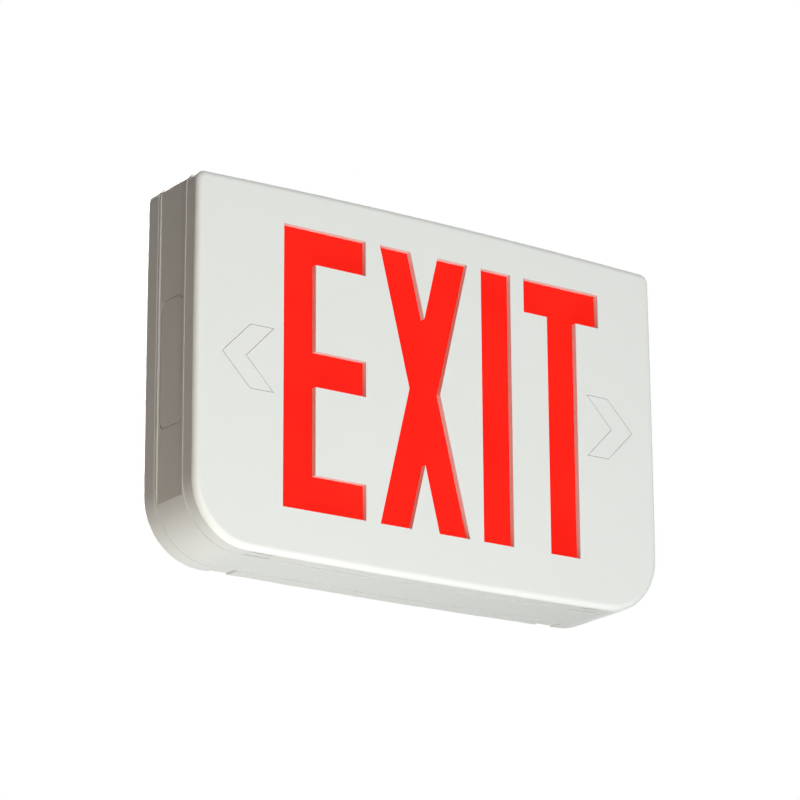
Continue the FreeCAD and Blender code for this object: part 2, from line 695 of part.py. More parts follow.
def make_back_plate():
    block = bowed_block("plate_block", "-plate_step", (PLATE_FRONT, "0"))
    shell = rounded("plate_rounded", block, rim_edges("0"), lambda edge: number("plate_edge_radius"))
    hollow = bowed_block("plate_hollow", "cover_step+cover_wall", (PLATE_FRONT + "-1", "-plate_floor"))
    cuts = [hollow]
    cuts.append(rod("wire_hole", "wire_hole_radius", "plate_floor+2", ALONG_Y, "0", "-plate_floor-1", "0"))
    for side, word in ((-1, "left"), (1, "right")):
        # slots for the screws of a ceiling or wall box
        x = "%d*box_screw_spacing/2" % side
        half = "(box_slot_length/2-box_slot_radius)"
        cuts.append(box("box_slot_" + word, (x + "-" + half, x + "+" + half), ("-plate_floor-1", "1"),
                        ("-box_slot_radius", "box_slot_radius")))
        for end in (-1, 1):
            cuts.append(rod("box_slot_%s_%d" % (word, end), "box_slot_radius", "plate_floor+2", ALONG_Y,
                            "%s+%d*%s" % (x, end, half), "-plate_floor-1", "0"))
        # keyholes for two wall screws
        x = "%d*keyhole_spacing/2" % side
        cuts.append(rod("keyhole_head_" + word, "keyhole_head_radius", "plate_floor+2", ALONG_Y, x,
                        "-plate_floor-1", "keyhole_up-keyhole_travel"))
        cuts.append(box("keyhole_neck_" + word, (x + "-keyhole_neck_radius", x + "+keyhole_neck_radius"),
                        ("-plate_floor-1", "1"), ("keyhole_up-keyhole_travel", "keyhole_up")))
        cuts.append(rod("keyhole_top_" + word, "keyhole_neck_radius", "plate_floor+2", ALONG_Y, x,
                        "-plate_floor-1", "keyhole_up"))
        # pry notches at the bottom edge, next to the frame
        x = "%d*pry_spacing/2" % side
        low = "%s-%s" % (inset_of_edge(-1, "pry_spacing"), HALF_HEIGHT)
        cuts.append(box("plate_notch_" + word, (x + "-pry_width/2", x + "+pry_width/2"),
                        (PLATE_FRONT + "-1", "1"), ("-%s-2" % HALF_HEIGHT, low + "+slot_depth-plate_step")))
    body = cut("plate_open", shell, cuts)

    posts, pilots = [], []
    for i, (x, z) in enumerate(post_points(), start=1):
        posts.append(post("reflector_post_%d" % i, "post_radius", x, z, "reflector_stand_off"))
        pilots.append(pilot_hole("reflector_pilot_%d" % i, x, POST_TIP, z))
    for i, (x, z) in enumerate(board_points(), start=1):
        posts.append(post("board_post_%d" % i, "post_radius-0.4", x, z, "board_stand_off"))
        pilots.append(pilot_hole("board_pilot_%d" % i, x, BOARD_BACK, z))
    for i, (x, z) in enumerate(strap_points(), start=1):
        posts.append(post("strap_post_%d" % i, "post_radius", x, z, "cradle_height"))
        pilots.append(pilot_hole("strap_pilot_%d" % i, x, "-plate_floor-cradle_height", z))
    # the battery cradle: a rib at each end of the cells
    for side, word in ((-1, "left"), (1, "right")):
        inner = "%s+%d*(cell_length/2+hook_play)" % (BATTERY_X, side)
        outer = "%s+%d*(cell_length/2+hook_play+cradle_wall)" % (BATTERY_X, side)
        posts.append(box("cradle_" + word, (inner, outer) if side > 0 else (outer, inner),
                         ("-plate_floor-cradle_height", "-plate_floor/2"),
                         (BATTERY_Z + "-2*cell_radius", BATTERY_Z + "+2*cell_radius")))
    hooks = four(hook, "plate_hook", "plate_hook_spacing", "-plate_floor", -1)
    sub_part("back_plate", cut("back_plate_solid", fuse("plate_with_posts", [body] + posts + hooks), pilots))


# ---- reflector tray and light strips ----

REFLECTOR_FRONT = PANEL_BACK + "+stake_head+reflector_clearance"
REFLECTOR_BACK = POST_TIP


STRIP_MIDDLE = "(%s+(%s)-reflector_wall)/2" % (REFLECTOR_FRONT, REFLECTOR_BACK)
STRIP_HALF = "(%s-strip_end_gap)" % TRAY_HALF
STRIP_LEAD_X = TRAY_HALF + "-lead_side"


def strip_face(up):
    """Height of the face of the upper (1) or lower (-1) strip that carries the lamps."""
    tray = TRAY_HIGH if up > 0 else TRAY_LOW
    return "%s-%d*reflector_wall-%d*strip_board" % (tray, up, up)


def strip_lead_height(up):
    """Height at which the strip's lead turns back through the reflector's floor."""
    return "%s-%d*lead_drop" % (strip_face(up), up)


def make_reflector():
    floor_front = REFLECTOR_BACK + "-reflector_wall"
    x = ("-" + TRAY_HALF, TRAY_HALF)
    z = (TRAY_LOW, TRAY_HIGH)
    outer = rounded_slab("reflector_outer", x, (REFLECTOR_FRONT, REFLECTOR_BACK), z, V(0, 1, 0),
                         "reflector_corner")
    inner = rounded_slab("reflector_inner", (x[0] + "+reflector_wall", x[1] + "-reflector_wall"),
                         (REFLECTOR_FRONT + "-1", floor_front),
                         (z[0] + "+reflector_wall", z[1] + "-reflector_wall"), V(0, 1, 0),
                         "reflector_corner-reflector_wall")
    holes = [rod("reflector_hole_%d" % i, "screw_radius+screw_clearance", "reflector_wall+2", ALONG_Y, x,
                 floor_front + "-1", z)
             for i, (x, z) in enumerate(post_points(), start=1)]
    # the strips' leads are already bending where they pass the floor, so their holes sit a little further on
    for up in (1, -1):
        holes.append(rod("reflector_lead_hole_%d" % up, "lead_hole_radius", "reflector_wall+2", ALONG_Y,
                         STRIP_LEAD_X, floor_front + "-1", "%s-%d*lead_bend/5" % (strip_lead_height(up), up)))
    sub_part("reflector", cut("reflector_solid", outer, [inner] + holes))


def make_light_strip(word, up):
    """Board against the reflector's upper or lower wall, with its lamps facing the middle."""
    inner = strip_face(up)
    wall = "%s+%d*strip_board" % (inner, up)
    tips = "%s-%d*led_height" % (inner, up)
    middle, half = STRIP_MIDDLE, STRIP_HALF
    board = box("strip_%s" % word, ("-" + half, half),
                (middle + "-strip_width/2", middle + "+strip_width/2"),
                (inner, wall) if up > 0 else (wall, inner))
    sub_part("light_strip_" + word, board)
    count = int(number("led_count"))
    lamps = []
    for i in range(count):
        x = "2*%s*%s" % (half, (i + 0.5) / count - 0.5)
        lamps.append(box("led_%s_%d" % (word, i + 1), (x + "-led_length/2", x + "+led_length/2"),
                         (middle + "-led_width/2", middle + "+led_width/2"),
                         (tips, inner) if up > 0 else (inner, tips)))
    sub_part("leds_" + word, group("leds_%s_group" % word, lamps))


# ---- screws ----

def screw(name, x, seat, z):
    """Pan-head screw with its head in front of the seat plane and its shank behind it."""
    shank = "screw_length-screw_head-2"
    body = turned(name + "_body", [
        ("0", "-(%s)" % shank), ("screw_radius*0.5", "-(%s)" % shank), ("screw_radius", "-(%s)+1.2" % shank),
        ("screw_radius", "0"), ("screw_head_radius", "0"), ("screw_head_radius", "screw_head*0.55"),
        ("screw_head_radius*0.7", "screw_head"), ("0", "screw_head")],
        FreeCAD.Rotation(V(1, 0, 0), 180), x, seat, z)
    arms = []
    for word, wide, tall in (("a", "screw_head_radius*0.6", "cross_slot/2"),
                             ("b", "cross_slot/2", "screw_head_radius*0.6")):
        arms.append(box("%s_cross_%s" % (name, word), ("%s-%s" % (x, wide), "%s+%s" % (x, wide)),
                        (seat + "-screw_head-1", seat + "-screw_head*0.45"),
                        ("%s-%s" % (z, tall), "%s+%s" % (z, tall))))
    return cut(name, body, arms)


def make_screws(label, points, seat):
    sub_part(label, group(label + "_group", [screw("%s_%d" % (label, i), x, seat, z)
                                             for i, (x, z) in enumerate(points, start=1)]))


# ---- control board and its components ----

def make_control_board():
    x = (BOARD_X + "-board_width/2", BOARD_X + "+board_width/2")
    z = (BOARD_Z + "-board_height/2", BOARD_Z + "+board_height/2")
    board = rounded_slab("board_block", x, (BOARD_FRONT, BOARD_BACK), z, V(0, 1, 0), "board_corner")
    holes = [rod("board_hole_%d" % i, "screw_radius+screw_clearance", "board_thickness+2", ALONG_Y, hx,
                 BOARD_FRONT + "-1", hz) for i, (hx, hz) in enumerate(board_points(), start=1)]
    sub_part("control_board", cut("control_board_solid", board, holes))


def on_board(name, right, up, wide, tall, high, low="0"):
    """A block on the board: its middle from the board's middle, and its size."""
    x = "%s+(%s)" % (BOARD_X, right)
    z = "%s+(%s)" % (BOARD_Z, up)
    return box(name, ("%s-(%s)/2" % (x, wide), "%s+(%s)/2" % (x, wide)),
               ("%s-(%s)" % (BOARD_FRONT, high), "%s-(%s)" % (BOARD_FRONT, low)),
               ("%s-(%s)/2" % (z, tall), "%s+(%s)/2" % (z, tall)))


def can_on_board(name, right, up, radius, high):
    return rod(name, radius, high, ALONG_Y, "%s+(%s)" % (BOARD_X, right), "%s-(%s)" % (BOARD_FRONT, high),
               "%s+(%s)" % (BOARD_Z, up))


def make_transformer():
    """Laminated core with two windows, and the wound bobbin through them."""
    where = ("-transformer_left", "transformer_up")
    core = on_board("core_block", *where, "core_width", "core_height", "core_high", "core_low")
    window = "(core_width-2*core_limb-core_middle)/2"
    gap = "(core_middle/2+%s/2)" % window
    windows = [on_board("core_window_%d" % side, "-transformer_left+%d*%s" % (side, gap), where[1], window,
                        "core_height-2*core_limb", "core_high+1", "core_low-1") for side in (-1, 1)]
    sub_part("transformer_core", cut("transformer_core_solid", core, windows))
    play = "coil_play"
    coil = on_board("coil_block", *where, "core_width-2*core_limb-2*%s" % play,
                    "core_height-2*core_limb-2*%s" % play, "coil_high")
    middle = on_board("coil_middle", *where, "core_middle+2*%s" % play, "core_height",
                      "core_high+%s" % play, "core_low-%s" % play)
    sub_part("transformer_coil", cut("transformer_coil_solid", coil, [middle]))


def make_capacitors():
    cans = [can_on_board("smoothing_can", "-can_left", "can_up", "can_radius", "can_height"),
            can_on_board("charge_can", "-can_left", "can_up-can_radius-1.3*small_can_radius-2",
                         "small_can_radius", "small_can_height"),
            can_on_board("timing_can", "can_left*2", "can_up", "small_can_radius*0.8", "small_can_height*0.65")]
    sub_part("capacitors", group("capacitors_group", cans))


def make_terminal_block():
    block = on_board("terminal_body", "-terminal_left", "-terminal_down", "3*terminal_pitch", "terminal_deep",
                     "terminal_high")
    ways = []
    for i in (-1, 0, 1):
        x = "%s-terminal_left+%d*terminal_pitch" % (BOARD_X, i)
        z = "%s-terminal_down" % BOARD_Z
        ways.append(rod("terminal_screw_well_%d" % i, "terminal_pitch/4", "terminal_high/2", ALONG_Y, x,
                        "%s-terminal_high-1" % BOARD_FRONT, z))
        ways.append(rod("terminal_wire_way_%d" % i, "terminal_pitch/5", "terminal_deep/2", ALONG_Z, x,
                        "%s-terminal_high*0.35" % BOARD_FRONT, z + "-terminal_deep*0.6"))
    sub_part("terminal_block", cut("terminal_block_solid", block, ways))


def make_control_chip():
    body = on_board("chip_body", "chip_right", "-chip_down", "chip_width", "4*pin_pitch-0.8", "chip_high",
                    "chip_lift")
    legs = [on_board("chip_leg_%d_%d" % (side, i), "chip_right+%d*(chip_width/2+0.3)" % side,
                     "-chip_down+%s*pin_pitch" % (i - 1.5), "1.2", "0.6", "chip_high/2")
            for side in (-1, 1) for i in range(4)]
    sub_part("control_chip", fuse("control_chip_solid", [body] + legs))


def socket_places():
    """Battery, upper strip and lower strip sockets, from the middle of the board."""
    yield "socket_right", "socket_up"
    yield "socket_right+socket_pitch", "socket_up"
    yield "socket_right", "-socket_up/2"


def make_lead_sockets():
    sockets = []
    for i, (right, up) in enumerate(socket_places(), start=1):
        block = on_board("socket_block_%d" % i, right, up, "socket_width", "socket_deep", "socket_high")
        well = on_board("socket_well_%d" % i, right, up, "socket_width-2*socket_wall",
                        "socket_deep-2*socket_wall", "socket_high+1", "2*socket_wall")
        sockets.append(cut("socket_%d" % i, block, [well]))
    sub_part("lead_sockets", group("lead_sockets_group", sockets))


# ---- battery and strap ----

BATTERY_BACK = "-plate_floor-hook_play"
BATTERY_AXIS = BATTERY_BACK + "-cell_radius-cell_wrap"
BATTERY_FRONT = BATTERY_BACK + "-2*cell_radius-2*cell_wrap"


def make_battery():
    start = BATTERY_X + "-cell_length/2"
    cells = [rod("cell_%d" % (i + 2), "cell_radius+cell_wrap", "cell_length", ALONG_X, start, BATTERY_AXIS,
                 "%s+%d*2*cell_radius" % (BATTERY_Z, i)) for i in (-1, 0, 1)]
    web = box("cell_web", (start + "+cell_wrap", BATTERY_X + "+cell_length/2-cell_wrap"),
              (BATTERY_AXIS + "-cell_radius*0.8", BATTERY_AXIS + "+cell_radius*0.8"),
              (BATTERY_Z + "-2*cell_radius", BATTERY_Z + "+2*cell_radius"))
    sub_part("battery_pack", fuse("battery_pack_solid", cells + [web]))

    # the strap: a foot each side, up beside the cells and over them
    half = "(3*cell_radius+2*cell_wrap)"
    foot = "%s+strap_thickness+strap_foot" % half
    seat = "-plate_floor-cradle_height"
    over = BATTERY_FRONT + "-hook_play"
    corners = [(seat, "-(%s)" % foot), (seat + "-strap_thickness", "-(%s)" % foot),
               (seat + "-strap_thickness", "-(%s+strap_thickness)" % half),
               (over + "-strap_thickness", "-(%s+strap_thickness)" % half),
               (over + "-strap_thickness", "%s+strap_thickness" % half),
               (seat + "-strap_thickness", "%s+strap_thickness" % half),
               (seat + "-strap_thickness", foot), (seat, foot), (seat, half), (over, half),
               (over, "-" + half), (seat, "-" + half)]
    band = prism("strap_band", corners, "strap_width", FACING_RIGHT, BATTERY_X + "-strap_width/2", "0", BATTERY_Z)
    holes = [rod("strap_hole_%d" % i, "screw_radius+screw_clearance", "strap_thickness+2", ALONG_Y, x,
                 seat + "-strap_thickness-1", z) for i, (x, z) in enumerate(strap_points(), start=1)]
    sub_part("battery_strap", cut("battery_strap_solid", band, holes))


# ---- leads: round cores on straight runs, with a quarter bend at each corner ----

AXES = {"x": V(1, 0, 0), "y": V(0, 1, 0), "z": V(0, 0, 1)}
TURNS = {"x": ALONG_X, "y": ALONG_Y, "z": ALONG_Z}
PANEL_SKIN = "(overall_width/2-side_drop)"
LEAD_LAYER = POST_TIP + "+lead_lift+lead_radius"
PLUG_TOP = BOARD_FRONT + "-socket_high-plug_proud"


def lead(name, radius, start, runs):
    """A lead from the start point; each run is an axis, the sense of travel and where it ends."""
    here = dict(zip("xyz", start))
    pieces = []
    for i, (axis, sense, end) in enumerate(runs, start=1):
        before = "lead_bend" if i > 1 else "0"
        after = "lead_bend" if i < len(runs) else "0"
        foot = dict(here)
        foot[axis] = "(%s)+%s" % ((here[axis], before) if sense > 0 else (end, after))
        length = "%d*((%s)-(%s))-%s-%s" % (sense, end, here[axis], before, after)
        pieces.append(rod("%s_run_%d" % (name, i), radius, length, TURNS[axis], foot["x"], foot["y"], foot["z"]))
        here[axis] = end
        if i < len(runs):
            next_axis, next_sense = runs[i][:2]
            into, out = AXES[axis] * sense, AXES[next_axis] * next_sense
            bend = doc.addObject("Part::Torus", "%s_bend_%d" % (name, i))
            bind(bend, "Radius1", "lead_bend")
            bind(bend, "Radius2", radius)
            bend.Angle3 = 90
            middle = dict(here)
            middle[axis] = "(%s)-%d*lead_bend" % (end, sense)
            middle[next_axis] = "(%s)+%d*lead_bend" % (here[next_axis], next_sense)
            turn = FreeCAD.Rotation(out * -1, into, into.cross(out), "XYZ")
            pieces.append(place(bend, middle["x"], middle["y"], middle["z"], turn))
    return fuse(name, pieces)


def socket_middle(i):
    right, up = list(socket_places())[i]
    return "%s+%s" % (BOARD_X, right), "%s+%s" % (BOARD_Z, up)


def make_lead_plugs():
    """The plugs in the board's sockets, each on the end of its lead."""
    plugs = []
    for i, (right, up) in enumerate(socket_places(), start=1):
        plugs.append(on_board("plug_%d" % i, right, up, "socket_width-2*socket_wall-2*plug_play",
                              "socket_deep-2*socket_wall-2*plug_play", "socket_high+plug_proud",
                              "2*socket_wall+plug_play"))
    sub_part("lead_plugs", group("lead_plugs_group", plugs))


def make_battery_lead():
    """From the upper cell's right end, forward to the back of the reflector, across and into its plug."""
    x, z = socket_middle(0)
    end = BATTERY_X + "+cell_length/2"
    height = BATTERY_Z + "+battery_lead_up"
    sub_part("battery_lead", lead("battery_lead_solid", "lead_radius",
                                  (end, BATTERY_AXIS + "-battery_lead_front", height), [
        ("x", 1, end + "+battery_lead_out"), ("y", -1, LEAD_LAYER), ("x", 1, x + "-socket_pitch"),
        ("z", 1, z), ("x", 1, x), ("y", 1, PLUG_TOP)]))


def make_strip_leads():
    """From the right end of each strip, back through the reflector's floor and into its plug."""
    leads = []
    for up, word in ((1, "top"), (-1, "bottom")):
        x, z = socket_middle(1 if up > 0 else 2)
        leads.append(lead("strip_lead_" + word, "lead_radius", (STRIP_HALF, STRIP_MIDDLE, strip_face(up)), [
            ("x", 1, STRIP_LEAD_X), ("z", -up, strip_lead_height(up)), ("y", 1, LEAD_LAYER), ("z", -up, z),
            ("x", -1, x), ("y", 1, PLUG_TOP)]))
    sub_part("strip_leads", group("strip_leads_group", leads))


def make_side_leads():
    """Two wires each from the switch's pins and from the lamp's base to the edge of the board."""
    edge = "%s+board_width/2-wire_pad" % BOARD_X
    for label, start, z, spacing in (
            ("switch_leads", PANEL_SKIN + "-bushing_length-switch_case_length-switch_pin", "-button_down",
             "switch_pin_spacing"),
            ("lamp_leads", PANEL_SKIN + "-lamp_length-1", "-button_down-lamp_spacing", "pin_pitch")):
        wires = []
        for side in (-1, 1):
            far = "%s-(1-(%d))/2*wire_pad" % (edge, side)
            wires.append(lead("%s_%d" % (label, side), "wire_radius",
                              (start, "-button_back+%d*%s/2" % (side, spacing), z),
                              [("x", -1, far), ("y", 1, BOARD_FRONT)]))
        sub_part(label, group(label + "_group", wires))


# ---- test button, its switch and the status light, in the right side wall ----

def side_turned(name, corners, z):
    """A turned piece in the right wall; corners are (radius, distance out of the side panel)."""
    return turned(name, corners, FreeCAD.Rotation(V(0, 0, 1), -90), PANEL_SKIN, "-button_back", z)


def make_switch():
    z = "-button_down"
    # the bowed wall's inner face lies a little further in at the nut's lower corner
    seat = "(frame_wall-side_drop+side_bow*((button_down+nut_width)/(%s))^2)" % HALF_HEIGHT
    floor = "-(bushing_length-2)"
    sleeve = side_turned("switch_sleeve", [
        ("button_radius+button_play", floor), ("bushing_radius", floor), ("bushing_radius", "0"),
        ("bezel_radius", "0"), ("bezel_radius", "bezel_height-0.4"), ("bezel_radius-0.4", "bezel_height"),
        ("button_radius+button_play", "bezel_height")], z)
    case = box("switch_case_block", ("%s-bushing_length-switch_case_length" % PANEL_SKIN,
                                     "%s-bushing_length+2" % PANEL_SKIN),
               ("-button_back-switch_case/2", "-button_back+switch_case/2"),
               ("-button_down-switch_case/2", "-button_down+switch_case/2"))
    well = rod("switch_well", "button_radius+button_play", "3", ALONG_X, PANEL_SKIN + "-bushing_length",
               "-button_back", z)
    back = "%s-bushing_length-switch_case_length" % PANEL_SKIN
    pins = [box("switch_pin_%d" % i, (back + "-switch_pin", back),
                ("-button_back+%d*switch_pin_spacing/2-0.4" % side, "-button_back+%d*switch_pin_spacing/2+0.4" % side),
                (z + "-1", z + "+1"))
            for i, side in enumerate((-1, 1))]
    sub_part("switch_body", cut("switch_body_solid", fuse("switch_outer", [sleeve, case] + pins), [well]))

    inner_wall = "%s-%s" % (PANEL_SKIN, seat)
    across = "nut_width/sqrt(3)"
    hexagon = [("(%s)*%s" % (across, c), "(%s)*%s" % (across, s)) for c, s in (
        ("0", "1"), ("-sqrt(3)/2", "0.5"), ("-sqrt(3)/2", "-0.5"), ("0", "-1"), ("sqrt(3)/2", "-0.5"),
        ("sqrt(3)/2", "0.5"))]
    nut = prism("switch_nut_block", hexagon, "nut_height", FACING_RIGHT, inner_wall + "-nut_height",
                "-button_back", z)
    bore = rod("switch_nut_bore", "bushing_radius+screw_clearance", "nut_height+2", ALONG_X,
               inner_wall + "-nut_height-1", "-button_back", z)
    sub_part("switch_nut", cut("switch_nut_solid", nut, [bore]))

    end = "-(bushing_length-button_travel-0.3)"
    sub_part("test_button", side_turned("test_button_solid", [
        ("0", end), ("button_radius", end), ("button_radius", "bezel_height+button_proud-0.5"),
        ("button_radius-0.5", "bezel_height+button_proud"), ("0", "bezel_height+button_proud")], z))


def make_status_light():
    z = "-button_down-lamp_spacing"
    tail = "-(lamp_length-1)"
    sub_part("lamp_holder", side_turned("lamp_holder_solid", [
        ("lamp_radius+screw_clearance", tail), ("lamp_holder_radius", tail), ("lamp_holder_radius", "0"),
        ("lamp_flange_radius", "0"), ("lamp_flange_radius", "lamp_flange-0.3"),
        ("lamp_flange_radius-0.3", "lamp_flange"), ("lamp_radius+screw_clearance", "lamp_flange")], z))
    stem = side_turned("lamp_stem", [
        ("0", "-lamp_length"), ("lamp_radius", "-lamp_length"), ("lamp_radius", "lamp_flange-0.3"),
        ("0", "lamp_flange-0.3")], z)
    dome = doc.addObject("Part::Sphere", "lamp_dome")
    bind(dome, "Radius", "lamp_radius")
    place(dome, PANEL_SKIN + "+lamp_flange-0.3", "-button_back", z)
    base = side_turned("lamp_base", [("0", "-lamp_length-1"), ("lamp_radius+0.4", "-lamp_length-1"),
                                     ("lamp_radius+0.4", "-lamp_length+0.8"), ("0", "-lamp_length+0.8")], z)
    sub_part("status_lamp", fuse("status_lamp_solid", [stem, dome, base]))


# ---- build everything ----

make_front_cover()
make_arrow_insert("chevron_left", -1)
make_arrow_insert("chevron_right", 1)
make_letter_panel()
make_housing_frame()
make_back_plate()
make_reflector()
make_light_strip("top", 1)
make_light_strip("bottom", -1)
make_screws("reflector_screws", post_points(),
            POST_TIP + "-reflector_wall")
make_control_board()
make_screws("board_screws", board_points(), BOARD_FRONT)
make_transformer()
make_capacitors()
make_terminal_block()
make_control_chip()
make_lead_sockets()
make_battery()
make_screws("strap_screws", strap_points(), "-plate_floor-cradle_height-strap_thickness")
make_switch()
make_status_light()
make_lead_plugs()
make_battery_lead()
make_strip_leads()
make_side_leads()
doc.recompute()

for thing in doc.Objects:
    if "Invalid" in thing.State or "Error" in thing.State:
        raise RuntimeError("%s did not build" % thing.Label)
os.makedirs("parts", exist_ok=True)
for label, thing in parts.items():
    shape = thing.Shape
    if shape.isNull() or not shape.isValid() or shape.Volume <= 0:
        raise RuntimeError("%s has no valid shape" % label)
    shape.exportStep("parts/%s.step" % label)
    print("%-18s %9.1f mm3  %d solid(s)" % (label, shape.Volume, len(shape.Solids)))
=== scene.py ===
import math

import bpy
from mathutils import Matrix, Vector

# The looks of a wall-mounted LED exit sign, built round its CAD frame.
# Metres; +X to the viewer's right, +Z up, the sign's face towards -Y, the wall at Y = 0.

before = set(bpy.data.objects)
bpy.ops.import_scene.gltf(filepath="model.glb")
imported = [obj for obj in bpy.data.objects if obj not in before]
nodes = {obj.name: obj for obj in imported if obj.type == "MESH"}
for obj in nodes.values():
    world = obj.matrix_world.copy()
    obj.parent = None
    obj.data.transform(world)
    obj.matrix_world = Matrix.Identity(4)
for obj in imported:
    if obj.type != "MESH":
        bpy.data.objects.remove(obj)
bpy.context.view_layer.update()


# ---- shader maths ----

class Value:
    """A shader socket that takes part in ordinary arithmetic."""

    def __init__(self, finish, socket):
        self.finish = finish
        self.socket = socket

    def __mul__(self, other):
        return self.finish.maths("MULTIPLY", self, other)

    def __rmul__(self, other):
        return self.finish.maths("MULTIPLY", other, self)

    def __lt__(self, other):
        return self.finish.maths("LESS_THAN", self, other)


class Finish:
    """A node tree in the making: a new material, or the tree that is handed in."""

    def __init__(self, name, tree=None, output="ShaderNodeOutputMaterial"):
        self.material = None
        if tree is None:
            self.material = bpy.data.materials.new(name)
            self.material.use_nodes = True
            tree = self.material.node_tree
        self.tree = tree
        self.tree.nodes.clear()
        self.output = self.tree.nodes.new(output)
        if self.material:
            self.place = self.node("ShaderNodeNewGeometry", result="Position")

    def node(self, kind, settings=None, sockets=None, result=0):
        """Adds a node: its settings first, then a value or a link for each socket."""
        made = self.tree.nodes.new(kind)
        for key, value in (settings or {}).items():
            setattr(made, key, value)
        for key, value in (sockets or {}).items():
            if isinstance(value, Value):
                self.tree.links.new(value.socket, made.inputs[key])
            elif value is not None:
                made.inputs[key].default_value = value
        return Value(self, made.outputs[result])

    def maths(self, operation, first, second):
        return self.node("ShaderNodeMath", {"operation": operation}, {0: first, 1: second})

    def finish(self, shader):
        self.tree.links.new(shader.socket, self.output.inputs["Surface"])
        return self.material

    def noise(self, scale, detail=2, roughness=0.5, stretch=None):
        """Cloudy value about 0.5; scale is in cells per metre, stretch multiplies it along each axis."""
        place = self.place
        if stretch:
            place = self.node("ShaderNodeVectorMath", {"operation": "MULTIPLY"}, {0: place, 1: stretch})
        return self.node("ShaderNodeTexNoise", {}, {"Vector": place, "Scale": scale, "Detail": detail,
                                                    "Roughness": roughness})

    def spread(self, value, low, high, to_low=0.0, to_high=1.0):
        """Stretches the part of value between low and high over the new range."""
        return self.node("ShaderNodeMapRange", {"clamp": True},
                         {"Value": value, "From Min": low, "From Max": high, "To Min": to_low,
                          "To Max": to_high})

    def blend(self, share, first, second):
        """Colour between first and second."""
        return self.node("ShaderNodeMix", {"data_type": "RGBA"},
                         {0: share, 6: self.colour(first), 7: self.colour(second)}, result=2)

    def colour(self, value):
        return value if isinstance(value, Value) or len(value) == 4 else (*value, 1)

    def bump(self, height, strength, distance):
        return self.node("ShaderNodeBump", {}, {"Height": height, "Strength": strength, "Distance": distance})

    def surface(self, colour, roughness, normal=None, **fixed):
        """Ends the material in one main shader; fixed sockets are named with spaces as underscores."""
        sockets = {"Base Color": self.colour(colour), "Roughness": roughness, "Normal": normal}
        sockets.update({key.replace("_", " "): value for key, value in fixed.items()})
        return self.finish(self.node("ShaderNodeBsdfPrincipled", {}, sockets))


# ---- finishes of the outside ----

def shell_plastic():
    """White moulded shell: smooth, faintly cloudy, with a fine spark-eroded grain."""
    finish = Finish("white_shell")
    cloud = finish.noise(7, 1)
    grain = finish.noise(2600, 2)
    colour = finish.blend(finish.spread(cloud, 0.35, 0.65), (0.787, 0.802, 0.783), (0.789, 0.804, 0.785))
    rough = finish.spread(finish.noise(9, 1), 0.3, 0.7, 0.275, 0.28)
    return finish.surface(colour, rough, finish.bump(grain, 0.03, 0.00004), IOR=1.5,
                          Specular_IOR_Level=0.2)


def lit_panel():
    """Red acrylic sheet, lit from behind."""
    finish = Finish("red_panel")
    cloud = finish.spread(finish.noise(22, 2), 0.3, 0.7)
    colour = finish.blend(cloud, (0.55, 0.006, 0.002), (0.6, 0.009, 0.003))
    glow = finish.blend(cloud, (0.96, 0.010, 0.004), (1.0, 0.014, 0.006))
    rough = finish.spread(finish.noise(300, 2), 0.3, 0.7, 0.5, 0.58)
    return finish.surface(colour, rough, Emission_Color=glow, Emission_Strength=0.46, IOR=1.49,
                          Specular_IOR_Level=0.1)


def moulding(name, dark, light, rough=0.45, grain=1800, depth=0.06):
    """Plain moulded plastic with slight clouding and grain."""
    finish = Finish(name)
    colour = finish.blend(finish.spread(finish.noise(90, 3), 0.35, 0.65), dark, light)
    roughness = finish.spread(finish.noise(400, 3), 0.3, 0.7, rough - 0.05, rough + 0.05)
    return finish.surface(colour, roughness, finish.bump(finish.noise(grain, 2), depth, 0.00005), IOR=1.5)


def plated_metal(name, dark, light, rough=0.28):
    """Plated steel or brass with fine rolling marks."""
    finish = Finish(name)
    marks = finish.noise(900, 3, stretch=(1, 6, 1))
    colour = finish.blend(finish.spread(marks, 0.3, 0.7), dark, light)
    roughness = finish.spread(marks, 0.3, 0.7, rough - 0.06, rough + 0.08)
    return finish.surface(colour, roughness, finish.bump(marks, 0.08, 0.00003), Metallic=1.0)


TRACK_WIDTH = 0.07     # share of a cell


def circuit_board():
    """Green solder mask with lighter copper tracks under it."""
    finish = Finish("circuit_board")
    cells = finish.node("ShaderNodeTexVoronoi", {"feature": "DISTANCE_TO_EDGE"},
                        {"Vector": finish.place, "Scale": 210.0})
    tracks = cells < TRACK_WIDTH
    colour = finish.blend(tracks, (0.012, 0.085, 0.03), (0.03, 0.16, 0.06))
    rough = finish.spread(finish.noise(500, 2), 0.3, 0.7, 0.22, 0.34)
    return finish.surface(colour, rough, finish.bump(tracks, 0.15, 0.00004))


def laminated_core():
    """Stack of thin varnished steel sheets."""
    finish = Finish("core_steel")
    sheets = finish.node("ShaderNodeTexWave", {"bands_direction": "Y"},
                         {"Vector": finish.place, "Scale": 320.0, "Distortion": 0.4})
    colour = finish.blend(sheets, (0.05, 0.05, 0.055), (0.16, 0.16, 0.17))
    return finish.surface(colour, 0.5, finish.bump(sheets, 0.3, 0.0001), Metallic=0.7)


def coil_tape():
    """Yellow tape wound over the bobbin in overlapping turns."""
    finish = Finish("coil_tape")
    turns = finish.node("ShaderNodeTexWave", {"bands_direction": "Y"},
                        {"Vector": finish.place, "Scale": 60.0, "Distortion": 1.0})
    colour = finish.blend(turns, (0.62, 0.42, 0.06), (0.74, 0.53, 0.1))
    return finish.surface(colour, finish.spread(turns, 0, 1, 0.25, 0.35), finish.bump(turns, 0.2, 0.0001))


